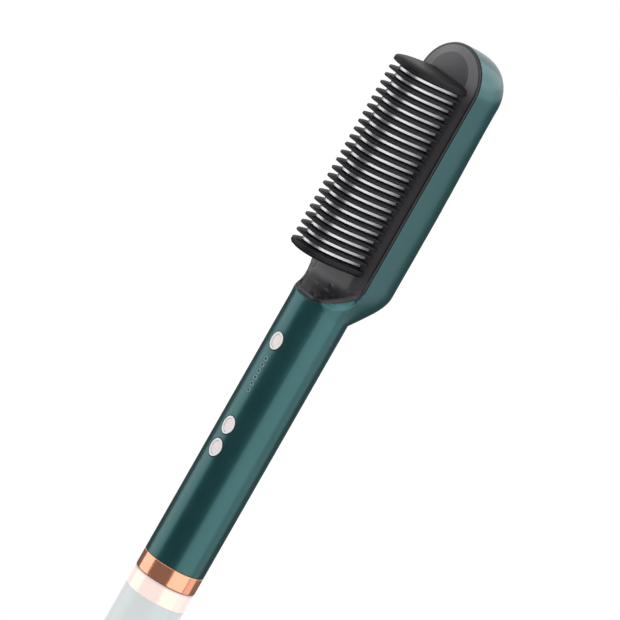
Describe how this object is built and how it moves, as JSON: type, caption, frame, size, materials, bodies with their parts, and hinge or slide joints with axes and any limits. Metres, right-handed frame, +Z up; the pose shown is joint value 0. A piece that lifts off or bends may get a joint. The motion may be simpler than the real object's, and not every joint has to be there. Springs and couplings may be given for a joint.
{
  "type": "hot comb",
  "caption": "Hair-straightening hot comb: round handle with press buttons and a deep head whose ribbed comb holds heated fins.",
  "frame": {"origin": "centre of the tail's flat bottom, on the handle's axis", "axes": "+Z up the handle to the tip of the head; the comb and the buttons face -Y; +X on the right of somebody who faces the comb"},
  "size_m": [0.0376, 0.0593, 0.275],
  "materials": {
    "green_shell": "dark green lacquered plastic, glossy",
    "black_plastic": "black heat-resistant plastic, satin gloss",
    "coated_aluminium": "glossy dark grey ceramic coating on aluminium",
    "amber_film": "amber polyimide film",
    "heater_body": "off-white ceramic",
    "bare_steel": "plain zinc-plated steel",
    "bare_aluminium": "plain sheet",
    "sensor_glass": "glassy bead",
    "pearl_plastic": "pearl white, satin",
    "dark_plastic": "matt black",
    "board_laminate": "green glass-fibre laminate",
    "capacitor_plastic": "ochre moulded box",
    "lamp_plastic": "clear diffused",
    "clear_plastic": "clear light guide",
    "silicone_lead": "red silicone sleeve",
    "sensor_lead": "white sleeve",
    "copper_metal": "polished rose-copper plating"
  },
  "bodies": {
    "handset": {"rear_shell": "green_shell", "front_shell": "green_shell", "comb_face": "black_plastic", "comb_ribs": "black_plastic", "heated_comb": "coated_aluminium", "insulating_films": "amber_film", "ptc_heater": "heater_body", "heater_clamp": "bare_steel", "clamp_screws": "bare_steel", "thermal_fuse": "heater_body", "temperature_sensor": "sensor_glass", "heat_shield": "bare_aluminium", "shield_screws": "bare_steel", "button_rings": "pearl_plastic", "tact_switches": "dark_plastic", "circuit_board": "board_laminate", "board_screws": "bare_steel", "controller_chip": "dark_plastic", "film_capacitor": "capacitor_plastic", "triac": "dark_plastic", "smoothing_capacitor": "bare_aluminium", "status_lamps": "lamp_plastic", "light_guide": "clear_plastic", "heater_leads": "silicone_lead", "sensor_leads": "sensor_lead", "tail_ring": "copper_metal", "end_cap": "green_shell", "bush_clip": "bare_steel"},
    "power_key": {"power_button": "pearl_plastic", "power_plunger": "dark_plastic"},
    "plus_key": {"plus_button": "pearl_plastic", "plus_plunger": "dark_plastic"},
    "minus_key": {"minus_button": "pearl_plastic", "minus_plunger": "dark_plastic"},
    "swivel": {"cord_bush": "dark_plastic"}
  },
  "joints": [
    {"name": "power_press", "type": "slide", "parent": "handset", "child": "power_key", "axis": [0, 1, 0], "range_m": [0, 0.0005], "stiffness_N_per_m": 3000, "springref_m": -0.0001},
    {"name": "plus_press", "type": "slide", "parent": "handset", "child": "plus_key", "axis": [0, 1, 0], "range_m": [0, 0.0005], "stiffness_N_per_m": 3000, "springref_m": -0.0001},
    {"name": "minus_press", "type": "slide", "parent": "handset", "child": "minus_key", "axis": [0, 1, 0], "range_m": [0, 0.0005], "stiffness_N_per_m": 3000, "springref_m": -0.0001},
    {"name": "cord_swivel", "type": "hinge", "parent": "handset", "child": "swivel", "pos_m": [0, 0, 0.004], "axis": [0, 0, 1], "continuous": true}
  ]
}
